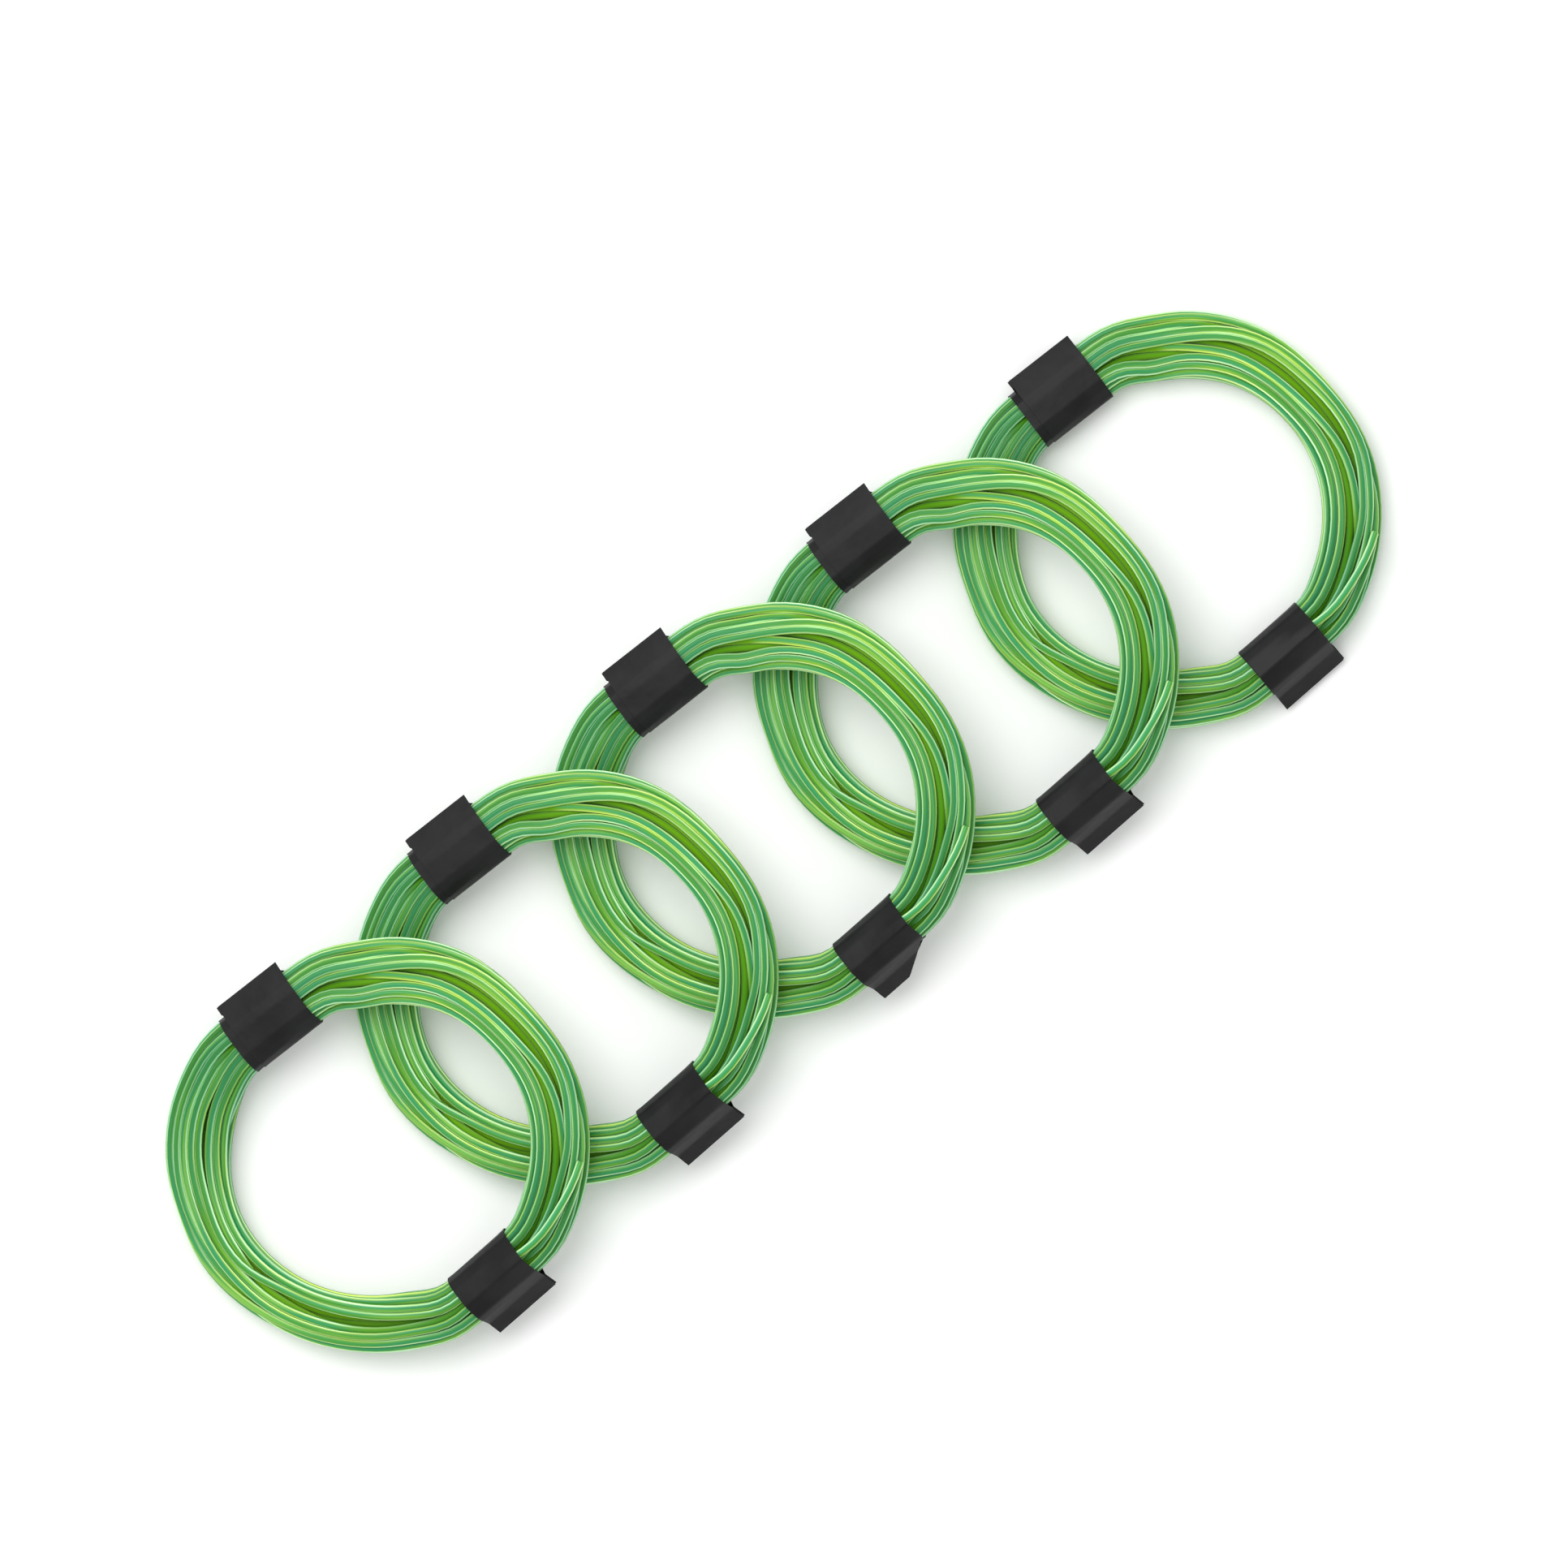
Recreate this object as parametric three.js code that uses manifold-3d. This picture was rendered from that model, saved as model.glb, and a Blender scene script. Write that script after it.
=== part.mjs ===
// Five tied coils of green strand, lying in an overlapping row.
//
// Millimetres. +X runs along the row from coil 1, which lies on top, to coil 5, which lies flat
// at the bottom. +Z is up, and the origin is on the floor under the middle of the row.
// Each coil is a bundle of turns with its free end lying on it, held by two wraps of black tape.

import * as THREE from "three";
import { mergeVertices } from "three/addons/utils/BufferGeometryUtils.js";
import Module from "manifold-3d";

// ---- Driving dimensions -------------------------------------------------------------------

const STRAND_DIAMETER = 2.0;
const GAP = 0.3; // clearance between neighbouring pieces
const TAPE_THICKNESS = 0.3;

// Where each coil's centre is along and across the row, and how far it tips up (degrees)
// because its +X side lies on the next coil.
const COILS = [
  { x: 0, y: 0, tilt: 9.9 },
  { x: 63.3, y: 3.6, tilt: 9.8 },
  { x: 128.2, y: 5.9, tilt: 10.0 },
  { x: 190.7, y: 2.6, tilt: 8.9 },
  { x: 252.8, y: 0, tilt: 0 },
];

// A coil's plan is an irregular ring. Each edge is a radius less a few dents, where the tapes
// draw the turns in and where the winding runs slack. Angles and spreads are in degrees.
const OUTER_EDGE = {
  radius: 55.0,
  dents: [
    { angle: 87, depth: 5.0, spread: 30 },
    { angle: 262, depth: 2.0, spread: 40 },
    { angle: 212, depth: 1.2, spread: 24 },
    { angle: 2, depth: 1.5, spread: 10 },
    { angle: 161, depth: 1.2, spread: 6 },
  ],
};
const INNER_EDGE = {
  radius: 39.7,
  dents: [
    { angle: 82, depth: 6.9, spread: 36 },
    { angle: 258, depth: 2.3, spread: 32 },
    { angle: 142, depth: 1.2, spread: 13 },
  ],
};

// The bundle keeps its cross-section area all the way round, so it is taller where it is narrow.
const BUNDLE_AREA = 133;
const ROUNDNESS = 2.8; // exponent of the superellipse that the bundle's cross-section follows
const SUPERELLIPSE_FILL = 0.869; // its area as a share of its box

const SECTION_POINTS = 16;
const RING_STEPS = 60;

// Each wrap of tape, seen from the coil's centre along its outward direction (degrees):
// inner and outer are how far out its band reaches, flag is how far out its two pressed ends
// reach, and the spans run clockwise along the bundle. The flag's profile is given as how far
// out each corner is and how high, as a share of the bundle's height.
const UPPER_TAPE = {
  direction: 89.6,
  inner: 32.7,
  outer: 49.1,
  flag: 51.9,
  bandSpan: [-12.0, 8.9],
  flagSpan: [-9.9, 8.9],
  flagProfile: [[46.5, 0.8], [48.3, 0.66], [51.9, 0.7], [51.9, 0.75], [47.0, 0.92]],
};
const LOWER_TAPE = {
  direction: -87,
  inner: 37.1,
  outer: 51.1,
  flag: 55.9,
  bandSpan: [-10.4, 8.6],
  flagSpan: [-10.4, 8.6],
  flagProfile: [[48.0, 0.8], [49.8, 0.15], [55.9, 0.07], [55.9, 0.12], [48.8, 0.92]],
};
const TAPES = [UPPER_TAPE, LOWER_TAPE];
const CUT_CORNER_COIL = 3; // one corner of this coil's lower flag is snipped off
const CUT_ALONG = 9.5;
const PINCH_FADE = 11; // degrees over which the bundle spreads again beyond a tape

// The free end's route over the top of the bundle, from the lower tape's edge to its cut tip.
const FREE_END_ROUTE = [
  { angle: -72.5, radius: 43.3 },
  { angle: -65, radius: 45.2 },
  { angle: -57, radius: 47.8 },
  { angle: -50, radius: 50.0 },
  { angle: -43.5, radius: 51.8 },
];
const FREE_END_STEPS = 7;
const FREE_END_SIDES = 8;

const STRAND_MATERIAL = { color: 0x2f7d55, roughness: 0.45, metalness: 0 };
const TAPE_MATERIAL = { color: 0x1c1c1c, roughness: 0.6, metalness: 0 };

// ---- Helpers ------------------------------------------------------------------------------

const { degToRad, radToDeg, lerp, smoothstep, euclideanModulo } = THREE.MathUtils;

// How far apart two directions are, in degrees, from 0 to 180.
function turnBetween(a, b) {
  return Math.abs(euclideanModulo(a - b + 180, 360) - 180);
}

const wasm = await Module();
wasm.setup();

function solidOf(geometry) {
  const bare = geometry.clone();
  bare.deleteAttribute("normal");
  bare.deleteAttribute("uv");
  const merged = mergeVertices(bare, 1e-4);
  return new wasm.Manifold(
    new wasm.Mesh({
      numProp: 3,
      vertProperties: merged.attributes.position.array,
      triVerts: new Uint32Array(merged.index.array),
    }),
  );
}

function geometryOf(solid) {
  const mesh = solid.getMesh();
  const geometry = new THREE.BufferGeometry();
  geometry.setAttribute("position", new THREE.BufferAttribute(mesh.vertProperties, 3));
  geometry.setIndex(new THREE.BufferAttribute(mesh.triVerts, 1));
  geometry.computeVertexNormals();
  return geometry;
}

// Points round a superellipse of the given half width and half height, anticlockwise. They start
// half a step round, so that its top, bottom and sides are flat faces.
function superellipse(halfWidth, halfHeight, count) {
  const points = [];
  for (let i = 0; i < count; i += 1) {
    const turn = (2 * Math.PI * (i + 0.5)) / count;
    const across = Math.abs(Math.cos(turn)) ** (2 / ROUNDNESS) * Math.sign(Math.cos(turn));
    const up = Math.abs(Math.sin(turn)) ** (2 / ROUNDNESS) * Math.sign(Math.sin(turn));
    points.push(new THREE.Vector2(across * halfWidth, up * halfHeight));
  }
  return points;
}

// ---- The bundle of turns ------------------------------------------------------------------

// An edge's radius at an angle, drawn to a straight line across each tape. tapeLine gives how
// far out that line is.
function edgeRadius(edge, angle, tapeLine) {
  let radius = edge.radius;
  for (const dent of edge.dents) {
    radius -= dent.depth * Math.exp(-0.5 * (turnBetween(angle, dent.angle) / dent.spread) ** 2);
  }
  for (const tape of TAPES) {
    const line = tapeLine(tape);
    const turn = turnBetween(angle, tape.direction);
    const held = radToDeg(Math.atan(Math.max(...tape.bandSpan.map(Math.abs)) / line)) + 1;
    const grip = 1 - smoothstep(turn, held, held + PINCH_FADE);
    radius = lerp(radius, line / Math.cos(degToRad(Math.min(turn, 60))), grip);
  }
  return radius;
}

// The bundle's cross-section at an angle: its inner and outer radius and its height.
function bundleAt(angle) {
  const inner = edgeRadius(INNER_EDGE, angle, (tape) => tape.inner + TAPE_THICKNESS + GAP);
  const outer = edgeRadius(OUTER_EDGE, angle, (tape) => tape.outer - TAPE_THICKNESS - GAP);
  const height = BUNDLE_AREA / (SUPERELLIPSE_FILL * (outer - inner));
  return { inner, outer, height };
}

// How high the bundle's top is over a point of its plan.
function bundleTop(angle, radius) {
  const { inner, outer, height } = bundleAt(angle);
  const across = Math.abs((2 * radius - inner - outer) / (outer - inner));
  return (height / 2) * (1 + (1 - across ** ROUNDNESS) ** (1 / ROUNDNESS));
}

// The ring stands on z = 0. It is turned as a ring of unit cross-section, and each point of
// that is then moved to its place in the real cross-section at its angle.
function strandGeometry() {
  const unitRadius = 3;
  const profile = superellipse(1, 1, SECTION_POINTS);
  profile.push(profile[0].clone());
  const turned = new THREE.LatheGeometry(
    profile.map((point) => new THREE.Vector2(unitRadius + point.x, point.y)),
    RING_STEPS,
  );
  turned.rotateX(Math.PI / 2);
  const position = turned.attributes.position;
  for (let i = 0; i < position.count; i += 1) {
    const x = position.getX(i);
    const y = position.getY(i);
    const { inner, outer, height } = bundleAt(radToDeg(Math.atan2(y, x)));
    const across = Math.hypot(x, y) - unitRadius;
    const radius = lerp(inner, outer, (across + 1) / 2) / Math.hypot(x, y);
    position.setXYZ(i, x * radius, y * radius, (height / 2) * (1 + position.getZ(i)));
  }
  return geometryOf(solidOf(turned));
}

function freeEndGeometry() {
  const route = FREE_END_ROUTE.map(({ angle, radius }) => {
    const height = bundleTop(angle, radius) + GAP + STRAND_DIAMETER / 2;
    const turn = degToRad(angle);
    return new THREE.Vector3(radius * Math.cos(turn), radius * Math.sin(turn), height);
  });
  const section = new THREE.Shape();
  section.absarc(0, 0, STRAND_DIAMETER / 2, 0, 2 * Math.PI);
  return new THREE.ExtrudeGeometry(section, {
    steps: FREE_END_STEPS,
    curveSegments: FREE_END_SIDES / 2, // an arc is drawn with twice as many sides as this
    bevelEnabled: false,
    extrudePath: new THREE.CatmullRomCurve3(route),
  });
}

// ---- The tapes ----------------------------------------------------------------------------

// A tape's own axes: x along the bundle, y outwards from the coil's centre, z up.
// Draws a section, given across the bundle, out along it.
function alongBundle(section, start, end) {
  const length = new THREE.ExtrudeGeometry(section, { depth: end - start, bevelEnabled: false });
  length.translate(0, 0, start);
  length.applyMatrix4(
    new THREE.Matrix4().makeBasis(
      new THREE.Vector3(0, 1, 0),
      new THREE.Vector3(0, 0, 1),
      new THREE.Vector3(1, 0, 0),
    ),
  );
  return solidOf(length);
}

// The flag is the tape's two ends pressed together. Its upper face runs out straight from the
// top of the band.
function flagSolid(tape, bundleHeight, cornerIsCut) {
  const profile = tape.flagProfile.map(([out, rise]) => new THREE.Vector2(out, rise * bundleHeight));
  const [start, end] = tape.flagSpan;
  const flag = alongBundle(new THREE.Shape(profile), start, end);
  if (!cornerIsCut) {
    return flag;
  }
  const [cutEdge, cutOut] = [start, tape.outer - TAPE_THICKNESS];
  const normal = new THREE.Vector2(tape.flag - cutOut, -CUT_ALONG).normalize();
  return flag.trimByPlane([normal.x, normal.y, 0], normal.x * cutEdge + normal.y * cutOut);
}

// A thin tube round the bundle, and the flag.
function tapeGeometry(tape, cornerIsCut) {
  const halfWidth = (tape.outer - tape.inner) / 2;
  const bundle = bundleAt(tape.direction);
  const halfHeight = bundle.height / 2 + GAP + TAPE_THICKNESS;
  const middle = new THREE.Vector2(tape.inner + halfWidth, bundle.height / 2);
  const sectionInside = (skin) =>
    new THREE.Shape(
      superellipse(halfWidth - skin, halfHeight - skin, SECTION_POINTS * 2).map((point) =>
        point.add(middle),
      ),
    );
  const [start, end] = tape.bandSpan;
  const band = alongBundle(sectionInside(0), start, end);
  const bore = alongBundle(sectionInside(TAPE_THICKNESS), start - 1, end + 1);
  return geometryOf(band.add(flagSolid(tape, bundle.height, cornerIsCut)).subtract(bore));
}

// ---- Coils and the row --------------------------------------------------------------------

function piece(name, geometry, material) {
  const mesh = new THREE.Mesh(geometry, new THREE.MeshStandardMaterial(material));
  mesh.name = name;
  return mesh;
}

function tapePiece(name, tape, cornerIsCut = false) {
  const mesh = piece(name, tapeGeometry(tape, cornerIsCut), TAPE_MATERIAL);
  mesh.rotation.z = degToRad(tape.direction - 90);
  return mesh;
}

function coil(number) {
  const name = `coil_${number}`;
  const group = new THREE.Group();
  group.add(
    piece(`${name}_strand`, strandGeometry(), STRAND_MATERIAL),
    piece(`${name}_free_end`, freeEndGeometry(), STRAND_MATERIAL),
    tapePiece(`${name}_upper_tape`, UPPER_TAPE),
    tapePiece(`${name}_lower_tape`, LOWER_TAPE, number === CUT_CORNER_COIL),
  );
  return group;
}

// Puts a coil in its place in the row, tipped up and let down until it touches the floor.
function placedCoil(place, index) {
  const group = coil(index + 1);
  group.position.set(place.x, place.y, 0);
  group.rotation.y = -degToRad(place.tilt);
  group.position.z = -new THREE.Box3().setFromObject(group, true).min.z;
  return group;
}

const row = new THREE.Group();
row.add(...COILS.map(placedCoil));
const footprint = new THREE.Box3().setFromObject(row, true).getCenter(new THREE.Vector3());
row.position.set(-footprint.x, -footprint.y, 0);

export default row;
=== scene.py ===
"""Five tied coils of coated strand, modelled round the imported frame.

Each coil is one strand wound in an irregular ring, with its free end lying on the bundle,
and two wraps of black tape. The coil is worked out once in its own axes, in millimetres:
its centre at the origin, its underside at z = 0. Copies are then put where the frame has
the coils, in metres."""

import math

import bpy
import numpy as np
from mathutils import Matrix, Vector


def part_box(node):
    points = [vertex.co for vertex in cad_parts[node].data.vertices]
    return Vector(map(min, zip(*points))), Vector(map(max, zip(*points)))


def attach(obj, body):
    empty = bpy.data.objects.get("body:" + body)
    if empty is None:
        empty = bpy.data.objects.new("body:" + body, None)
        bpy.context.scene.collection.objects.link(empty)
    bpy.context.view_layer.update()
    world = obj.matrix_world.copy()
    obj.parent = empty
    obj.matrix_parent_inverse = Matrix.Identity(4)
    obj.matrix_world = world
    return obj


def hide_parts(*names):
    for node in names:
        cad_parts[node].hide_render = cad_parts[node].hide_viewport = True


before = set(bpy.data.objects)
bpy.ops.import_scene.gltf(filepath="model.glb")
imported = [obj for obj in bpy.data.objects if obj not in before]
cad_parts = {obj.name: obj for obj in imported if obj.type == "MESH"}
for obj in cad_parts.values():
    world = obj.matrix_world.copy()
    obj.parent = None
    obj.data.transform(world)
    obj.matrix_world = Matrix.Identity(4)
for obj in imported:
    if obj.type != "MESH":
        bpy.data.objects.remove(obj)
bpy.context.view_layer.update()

bl_info = {
    "name": "Taped strand coils",
    "version": (1, 0, 0),
    "blender": (4, 5, 0),
    "location": "3D View > Sidebar > Coils",
    "description": "Models wound coils of coated strand, held by wraps of black tape",
    "category": "Object",
}

MM = 0.001

# ---- The coil, as the frame has it ---------------------------------------------------------

# How far each coil tips up, because its +X side lies on the next one (degrees).
COIL_TILTS = {1: 9.9, 2: 9.8, 3: 10.0, 4: 8.9, 5: 0.0}
CUT_CORNER_COIL = 3  # one corner of this coil's lower flag is snipped off

# The edges of the coil's plan: a radius, and dents given as (angle, depth, spread), with the
# angle and the spread in degrees.
OUTER_EDGE = (55.0, [(87, 5.0, 30), (262, 2.0, 40), (212, 1.2, 24), (2, 1.5, 10), (161, 1.2, 6)])
INNER_EDGE = (39.7, [(82, 6.9, 36), (258, 2.3, 32), (142, 1.2, 13)])
BUNDLE_AREA = 133.0  # of the bundle's cross-section, the same all the way round
ROUNDNESS = 2.8  # exponent of the superellipse that the cross-section follows
SUPERELLIPSE_FILL = 0.869  # its area as a share of its box

# Where each wrap sits, seen along its outward direction from the coil's centre: how far out
# its band reaches, where its edges are clockwise along the bundle, where the flag starts and
# ends, as (how far out, share of the bundle's height), and where the film bunches up into a
# ridge, as (how far out, rise).
UPPER_TAPE = {
    "direction": 89.6,
    "inner": 32.7,
    "outer": 49.1,
    "flag_root": (49.2, 0.80),
    "flag_tip": (51.9, 0.72),
    "ridge": (38.0, 0.2),
    "edges": (-9.9, 8.9),
    "under_edges": (-12.0, 7.0),
}
LOWER_TAPE = {
    "direction": -87.0,
    "inner": 37.1,
    "outer": 51.1,
    "flag_root": (52.0, 0.40),
    "flag_tip": (55.9, 0.10),
    "ridge": (45.5, 0.7),
    "edges": (-10.4, 8.6),
    "under_edges": (-10.0, 8.8),
}
TAPES = (UPPER_TAPE, LOWER_TAPE)
TAPE_ROOM = 0.45  # from a band's outer face to the strands under it
PINCH_FADE = 11  # degrees over which the bundle spreads again beyond a tape

# ---- The winding ---------------------------------------------------------------------------

STEPS_PER_TURN = 96
SEAM = -87.0  # the angle where a turn is counted from: under the lower tape
FREE_END_TURN = 43.5  # degrees that the free end runs on past the last turn
PAINTED_LIGHT_AT = 19.0  # the angle where, as on the opposite side, the turns are painted lightest
LAYERS = (6, 8, 8, 7)  # strands in each layer of the body, from the underside up

# The last turns lie on top, and wander from the inner side (-1) to the outer side (1) of the
# bundle. Each is given as (degrees past the seam, place across). The last one is the free end.
TOP_TURNS = (
    ((0, -0.6), (60, -0.75), (120, -0.7), (177, -0.5), (260, -0.2), (330, 0.3), (360, 0.55)),
    (
        (0, 0.55), (20, 0.5), (48, 0.25), (65, 0.02), (76, -0.08), (113, -0.2),
        (134, -0.16), (159, -0.05), (177, 0.1), (230, 0.3), (300, 0.2), (360, 0.0),
    ),
    ((0, 0.0), (15, 0.35), (37, 0.9), (60, 0.95), (110, 0.85), (177, 0.6), (250, 0.5), (360, 0.3)),
    ((0, 0.3), (60, 0.6), (110, 0.5), (177, 0.35), (230, 0.0), (280, -0.3), (320, -0.4), (360, -0.4)),
    ((0, -0.4), (15, -0.28), (23, -0.04), (30, 0.24), (37, 0.52), (44, 0.72)),
)

# Long gaps between the uppermost strands: (angle, radius) at each tip, and half the width.
GAPS = (
    ((46.6, 44.4), (17.0, 49.3), 1.1),
    ((69.6, 43.1), (52.0, 38.4), 1.0),
    ((22.0, 45.6), (-24.0, 50.4), 1.6),
    ((124.6, 43.3), (156.0, 43.6), 1.0),
    ((195.6, 43.9), (251.0, 45.4), 1.3),
)


def turn_between(a, b):
    """How far apart two directions are, in degrees, from 0 to 180."""
    return np.abs((a - b + 180) % 360 - 180)


def smoothstep(value, low, high):
    share = np.clip((value - low) / (high - low), 0, 1)
    return share * share * (3 - 2 * share)


def edge_radius(edge, angle, tape_line):
    """An edge of the plan, drawn to a straight line across each tape."""
    base, dents = edge
    radius = np.full_like(angle, base)
    for dent, depth, spread in dents:
        radius -= depth * np.exp(-0.5 * (turn_between(angle, dent) / spread) ** 2)
    for tape in TAPES:
        line = tape_line(tape)
        turn = turn_between(angle, tape["direction"])
        reach = max(abs(side) for side in tape["edges"] + tape["under_edges"])
        held = math.degrees(math.atan(reach / line)) + 1
        grip = 1 - smoothstep(turn, held, held + PINCH_FADE)
        radius += grip * (line / np.cos(np.radians(np.minimum(turn, 60))) - radius)
    return radius


def bundle_at(angle):
    """The bundle's inner and outer radius and its height, at angles in degrees."""
    inner = edge_radius(INNER_EDGE, angle, lambda tape: tape["inner"] + TAPE_ROOM)
    outer = edge_radius(OUTER_EDGE, angle, lambda tape: tape["outer"] - TAPE_ROOM)
    return inner, outer, BUNDLE_AREA / (SUPERELLIPSE_FILL * (outer - inner))


def smoothed_round(values, reach=2):
    """Values round the coil, averaged with their neighbours."""
    weights = np.hanning(2 * reach + 3)[1:-1]
    wrapped = np.concatenate([values[-reach:], values, values[:reach]])
    return np.convolve(wrapped, weights / weights.sum(), "valid")


class Winding:
    """One strand wound into a bundle.

    across[turn, step] and up[turn, step] are how far the strand's centreline is outwards from
    the middle of the bundle's cross-section, and above it. The turns start in layers, the last
    few on top, and are then settled: each step smooths the strand as its stiffness would,
    draws it towards its place, opens the gaps, keeps it in the bundle's outline and pushes
    overlapping turns apart. The last passes ease what kinks and overlaps are left."""

    LAYER_SPACING = (0.95, 0.87)  # of the turns at the start, in diameters: across, and up
    LATE = 0.75  # share of the settling after which turns are less drawn and more pushed apart

    def __init__(self, settings):
        self.diameter = settings.strand_diameter / MM
        self.rng = np.random.default_rng(settings.seed)
        self.angles = SEAM + np.arange(STEPS_PER_TURN) * 360 / STEPS_PER_TURN
        inner, outer, height = (smoothed_round(edge) for edge in bundle_at(self.angles))
        self.middle = (inner + outer) / 2
        self.half_height = height / 2
        self.reach_across = (outer - inner) / 2 - self.diameter / 2
        self.reach_up = height / 2 - self.diameter / 2
        self.body_turns = sum(LAYERS)
        self.turns = self.body_turns + len(TOP_TURNS) - 1
        free_steps = round(FREE_END_TURN / 360 * STEPS_PER_TURN) + 1
        self.count = self.turns * STEPS_PER_TURN + free_steps
        steps = np.arange((self.turns + 1) * STEPS_PER_TURN)
        self.live = steps.reshape(self.turns + 1, -1) < self.count
        self.across, self.up = self.start(settings.wander / MM)
        self.home = self.across.copy()

    def layer_slots(self):
        """Places in the cross-section, layer by layer, each layer run back the way it came."""
        slots = []
        apart_across, apart_up = self.LAYER_SPACING
        lowered = 0.3  # of a layer, to leave room for the top turns
        for layer, count in enumerate(LAYERS):
            row = (np.arange(count) - (count - 1) / 2) * self.diameter * apart_across
            if layer % 2:
                row = row[::-1]
            level = (layer - (len(LAYERS) - 1) / 2 - lowered) * self.diameter * apart_up
            slots += [(place, level) for place in row]
        return slots

    def start(self, wander):
        """Each turn goes from its own slot to the next one's, and the top turns lie over them."""
        shape = (self.turns + 1, STEPS_PER_TURN)
        across = np.zeros(shape)
        up = np.zeros(shape)
        usual_across = self.reach_across.mean()
        usual_up = self.reach_up.mean()
        slots = self.layer_slots()
        slots.append((TOP_TURNS[0][0][1] * usual_across, usual_up * 0.9))
        share = np.arange(STEPS_PER_TURN) / STEPS_PER_TURN
        for turn in range(self.body_turns):
            (x0, z0), (x1, z1) = slots[turn], slots[turn + 1]
            across[turn] = (x0 + (x1 - x0) * share) * self.reach_across / usual_across
            up[turn] = (z0 + (z1 - z0) * share) * self.reach_up / usual_up
        for number, route in enumerate(TOP_TURNS):
            degrees, places = zip(*route)
            turn = self.body_turns + number
            across[turn] = np.interp(self.angles - SEAM, degrees, places) * self.reach_across
            up[turn] = self.reach_up + (0.5 + 0.35 * number) * self.diameter
        body = across[: self.body_turns]
        loose = 1 - 0.8 * np.abs(body) / self.reach_across
        body += self.slow_waves(shape)[: self.body_turns] * wander * loose
        return across, up

    def slow_waves(self, shape, waves=40):
        """A smooth random line along the strand, with a usual size of 1."""
        line = np.arange(shape[0] * shape[1]) / STEPS_PER_TURN
        total = np.zeros_like(line)
        for _ in range(waves):
            per_turn = self.rng.uniform(0.5, 2.6)
            total += np.sin(2 * np.pi * (line * per_turn + self.rng.uniform(0, 1)))
        return (total / math.sqrt(waves / 2)).reshape(shape)

    def settle(self, steps):
        """Lets the turns find their places, then fills the outline and eases the turns."""
        for step in range(steps):
            late = step > steps * self.LATE
            homing = 0.01 if late else 0.03
            self.stiffen(1 if late else 3)
            self.across += homing * (self.home - self.across)
            self.up[self.body_turns :] -= 0.03  # the top turns are pressed down
            self.up[: self.body_turns] *= 0.997  # and the rest are drawn together
            self.open_gaps()
            self.keep_in_bundle()
            self.push_apart(4 if late else 2)
        for _ in range(12):
            self.stiffen(3)
            self.open_gaps()
            self.push_apart(2)
        self.fill_outline()
        for _ in range(10):
            self.open_gaps()
            self.push_apart(3)
            self.keep_in_bundle()
            self.stiffen(1)

    def fill_outline(self):
        """Spreads the turns until the outermost ones lie on the bundle's outline."""
        for line, reach in ((self.across, self.reach_across), (self.up, self.reach_up)):
            low = smoothed_round(line[: self.turns].min(axis=0), 4)
            high = smoothed_round(line[: self.turns].max(axis=0), 4)
            line -= (low + high) / 2
            line *= 2 * reach / (high - low)

    def stiffen(self, times, share=0.3):
        """Draws each point of the strand towards the middle of its two neighbours."""
        heights = self.up + self.half_height
        for line in (self.across.reshape(-1), heights.reshape(-1)):
            live = line[: self.count]
            for _ in range(times):
                live[1:-1] += share * (live[:-2] + live[2:] - 2 * live[1:-1])
        self.up = heights - self.half_height

    def open_gaps(self):
        """Parts the uppermost turns along each gap, widest halfway along it, and sinks what
        lies between them."""
        for *tips, half_width in GAPS:
            (angle_a, radius_a), (angle_b, radius_b) = sorted(tips)
            share = np.clip((self.angles - angle_a) / (angle_b - angle_a), 0, 1)
            inside = self.live & (share > 0) & (share < 1)
            line = radius_a + (radius_b - radius_a) * share - self.middle
            off = np.where(inside, self.across - line, 0)
            sunk = np.where(inside, self.reach_up - self.up, 0)
            upper = sunk.sum(axis=1) / inside.sum(axis=1).clip(1) < 0.75 * self.diameter
            side = np.sign(off.sum(axis=1)) * upper
            room = half_width * np.sin(np.pi * share) ** 0.8 + self.diameter / 2
            short = np.maximum(room - off * side[:, None], 0) * inside
            self.across += 0.4 * short * side[:, None]
            between = inside & ~upper[:, None] & (np.abs(off) < room)
            self.up -= 0.3 * np.where(between, np.maximum(1.4 * self.diameter - sunk, 0), 0)

    def reach_outward(self):
        """How far towards the bundle's outline each place lies: 0 at its middle, 1 on it."""
        across = np.abs(self.across / self.reach_across) ** ROUNDNESS
        up = np.abs(self.up / self.reach_up) ** ROUNDNESS
        return (across + up) ** (1 / ROUNDNESS)

    def keep_in_bundle(self):
        """Draws the turns inside the bundle's outline. The free end stays on top of it."""
        keep = 1 - 0.6 * (1 - 1 / np.maximum(self.reach_outward(), 1))
        keep[-1] = 1
        self.across *= keep
        self.up *= keep
        inside = np.maximum(1 - np.abs(self.across[-1] / self.reach_across) ** ROUNDNESS, 0)
        self.up[-1] = np.maximum(self.up[-1], self.reach_up * inside ** (1 / ROUNDNESS))

    def push_apart(self, times):
        """Moves turns that overlap at the same step out of each other."""
        turns = np.arange(self.turns + 1)
        far = 1e3  # keeps the steps beyond the free end's tip out of every overlap
        away = np.where(self.live, 0, far * (1 + turns[:, None]))
        spacing = self.diameter * 1.01
        for _ in range(times):
            height = self.up + away
            off_across = self.across[:, None] - self.across[None]
            off_up = height[:, None] - height[None]
            apart = np.hypot(off_across, off_up) + 1e-9
            overlap = np.maximum(spacing - apart, 0)
            overlap[turns, turns] = 0
            share = 0.275 * overlap / apart
            self.across += (off_across * share).sum(axis=1)
            self.up += (off_up * share).sum(axis=1)

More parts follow.
